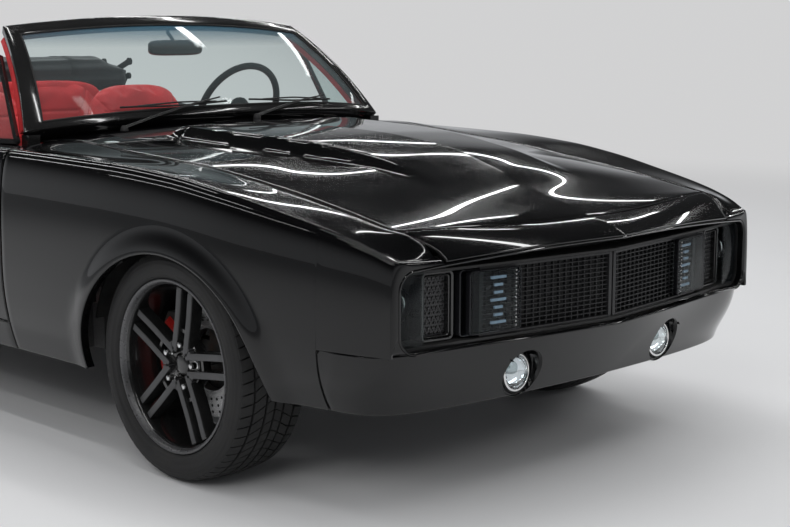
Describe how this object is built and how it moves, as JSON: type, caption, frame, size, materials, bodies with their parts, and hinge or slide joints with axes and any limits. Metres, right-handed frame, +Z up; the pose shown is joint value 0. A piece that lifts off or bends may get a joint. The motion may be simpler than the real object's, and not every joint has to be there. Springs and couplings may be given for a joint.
{
  "type": "car",
  "caption": "Two-door open muscle car with a long hood, full-width grille, low windscreen, red seats, opening doors, hood and trunk lid, and steered, spinning wheels.",
  "frame": {"origin": "on the ground, at the middle of the car's length and width", "axes": "+Z up; -Y towards the nose, +Y towards the tail; +X towards the car's left side"},
  "size_m": [1.8474, 4.6399, 1.2739],
  "materials": {
    "paint_black": "gloss black paint",
    "glass_clear": "clear with a blue shade band",
    "leather_red": "red leather",
    "rubber": "matt black rubber",
    "alloy_dark": "satin dark grey",
    "fabric_black": "black folded fabric",
    "steel_dark": "satin black",
    "trim_black": "satin black",
    "lamp_glass": "clear and smoked lenses",
    "lamp_red": "red lenses",
    "iron": "plain metal",
    "steel_bright": "bright metal"
  },
  "bodies": {
    "body": {"fender_left": "paint_black", "fender_right": "paint_black", "header_panel": "paint_black", "front_valance": "paint_black", "cowl_panel": "paint_black", "windshield_frame": "paint_black", "windshield_glass": "glass_clear", "quarter_left": "paint_black", "quarter_right": "paint_black", "rear_deck": "paint_black", "tail_panel": "paint_black", "rear_roll_pan": "paint_black", "tail_lamps": "lamp_red", "floor_pan": "steel_dark", "front_bulkhead": "steel_dark", "front_aprons": "steel_dark", "rear_floor": "steel_dark", "rear_wheelhouses": "steel_dark", "front_subframe": "steel_dark", "rear_axle": "steel_dark", "leaf_springs": "steel_dark", "engine": "iron", "exhaust": "steel_bright", "fuel_tank": "steel_dark", "grille_surround": "trim_black", "grille_mesh": "trim_black", "nose_lamps": "lamp_glass", "fog_lamps": "lamp_glass", "dashboard": "trim_black", "front_seat_left": "leather_red", "front_seat_right": "leather_red", "rear_seat": "leather_red", "soft_top_stack": "fabric_black", "console": "trim_black", "wipers": "trim_black", "interior_mirror": "trim_black"},
    "hood": {"hood": "paint_black"},
    "door_left": {"door_left": "paint_black"},
    "door_right": {"door_right": "paint_black"},
    "trunk_lid": {"trunk_lid": "paint_black"},
    "steering_wheel": {"steering_wheel": "trim_black"},
    "knuckle_left": {"knuckle_left": "steel_dark"},
    "knuckle_right": {"knuckle_right": "steel_dark"},
    "wheel_front_right": {"wheel_front_right": "alloy_dark", "tyre_front_right": "rubber"},
    "wheel_front_left": {"wheel_front_left": "alloy_dark", "tyre_front_left": "rubber"},
    "wheel_rear_right": {"wheel_rear_right": "alloy_dark", "tyre_rear_right": "rubber"},
    "wheel_rear_left": {"wheel_rear_left": "alloy_dark", "tyre_rear_left": "rubber"}
  },
  "joints": [
    {"name": "hood_lift", "type": "hinge", "parent": "body", "child": "hood", "pos_m": [0, -0.85299, 0.93128], "axis": [-1, 0, 0], "range_deg": [0, 48]},
    {"name": "trunk_lift", "type": "hinge", "parent": "body", "child": "trunk_lid", "pos_m": [0, 1.40604, 0.94007], "axis": [1, 0, 0], "range_deg": [0, 70]},
    {"name": "door_left_swing", "type": "hinge", "parent": "body", "child": "door_left", "pos_m": [0.8379, -0.71396, 0.6], "axis": [0, 0, -1], "range_deg": [0, 66]},
    {"name": "door_right_swing", "type": "hinge", "parent": "body", "child": "door_right", "pos_m": [-0.8379, -0.71396, 0.6], "axis": [0, 0, 1], "range_deg": [0, 66]},
    {"name": "steer_left", "type": "hinge", "parent": "body", "child": "knuckle_left", "pos_m": [0.668, -1.44, 0.323], "axis": [0, 0, 1], "range_deg": [-30, 30]},
    {"name": "steer_right", "type": "hinge", "parent": "body", "child": "knuckle_right", "pos_m": [-0.668, -1.44, 0.323], "axis": [0, 0, 1], "range_deg": [-30, 30]},
    {"name": "steering_turn", "type": "hinge", "parent": "body", "child": "steering_wheel", "pos_m": [0.38499, -0.20512, 0.925], "axis": [0, 0.9135, 0.4067], "range_deg": [-450, 450]},
    {"name": "spin_front_right", "type": "hinge", "parent": "knuckle_right", "child": "wheel_front_right", "pos_m": [-0.748, -1.44, 0.323], "axis": [1, 0, 0], "continuous": true},
    {"name": "spin_front_left", "type": "hinge", "parent": "knuckle_left", "child": "wheel_front_left", "pos_m": [0.748, -1.44, 0.323], "axis": [1, 0, 0], "continuous": true},
    {"name": "spin_rear_right", "type": "hinge", "parent": "body", "child": "wheel_rear_right", "pos_m": [-0.748, 1.306, 0.323], "axis": [1, 0, 0], "continuous": true},
    {"name": "spin_rear_left", "type": "hinge", "parent": "body", "child": "wheel_rear_left", "pos_m": [0.748, 1.306, 0.323], "axis": [1, 0, 0], "continuous": true}
  ],
  "couplings": [
    {"joint": "steer_right", "follows": "steer_left", "ratio": 1},
    {"joint": "steering_turn", "follows": "steer_left", "ratio": 14.9}
  ]
}
